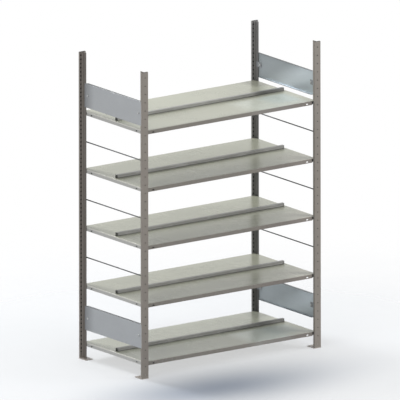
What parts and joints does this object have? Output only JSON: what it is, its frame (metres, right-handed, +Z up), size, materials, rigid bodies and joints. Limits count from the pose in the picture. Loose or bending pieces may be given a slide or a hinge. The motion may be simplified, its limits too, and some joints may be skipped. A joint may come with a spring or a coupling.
{
  "type": "double sided library shelving",
  "caption": "Open double sided shelving bay with slotted T-section posts, folded steel shelves with centre stops, end panels and side rods.",
  "frame": {"origin": "on the floor, under the middle of the bay", "axes": "+Z up, +X along the shelves to the right as seen from the front, +Y from the front side to the rear side"},
  "size_m": [1.306, 0.636, 1.858],
  "materials": {
    "post": "satin brownish grey coating",
    "shelf": "satin light beige grey coating",
    "stop": "satin grey coating",
    "galvanised": "galvanised sheet, matt with a faint bluish tone",
    "zinc": "zinc plated wire, clips and bolts"
  },
  "bodies": {
    "root": {"post_front_left": "post", "foot_front_left": "post", "post_rear_left": "post", "foot_rear_left": "post", "side_rod_left_1": "zinc", "side_rod_left_2": "zinc", "side_rod_left_3": "zinc", "end_panel_left_lower": "galvanised", "panel_clamps_left_lower": "galvanised", "panel_bolts_left_lower": "zinc", "end_panel_left_upper": "galvanised", "panel_clamps_left_upper": "galvanised", "panel_bolts_left_upper": "zinc", "post_front_right": "post", "foot_front_right": "post", "post_rear_right": "post", "foot_rear_right": "post", "side_rod_right_1": "zinc", "side_rod_right_2": "zinc", "side_rod_right_3": "zinc", "end_panel_right_lower": "galvanised", "panel_clamps_right_lower": "galvanised", "panel_bolts_right_lower": "zinc", "end_panel_right_upper": "galvanised", "panel_clamps_right_upper": "galvanised", "panel_bolts_right_upper": "zinc", "shelf_1": "shelf", "shelf_stiffener_1": "shelf", "shelf_clips_1": "zinc", "centre_stop_1": "stop", "shelf_2": "shelf", "shelf_stiffener_2": "shelf", "shelf_clips_2": "zinc", "centre_stop_2": "stop", "shelf_3": "shelf", "shelf_stiffener_3": "shelf", "shelf_clips_3": "zinc", "centre_stop_3": "stop", "shelf_4": "shelf", "shelf_stiffener_4": "shelf", "shelf_clips_4": "zinc", "centre_stop_4": "stop", "shelf_5": "shelf", "shelf_stiffener_5": "shelf", "shelf_clips_5": "zinc", "centre_stop_5": "stop"}
  },
  "joints": []
}
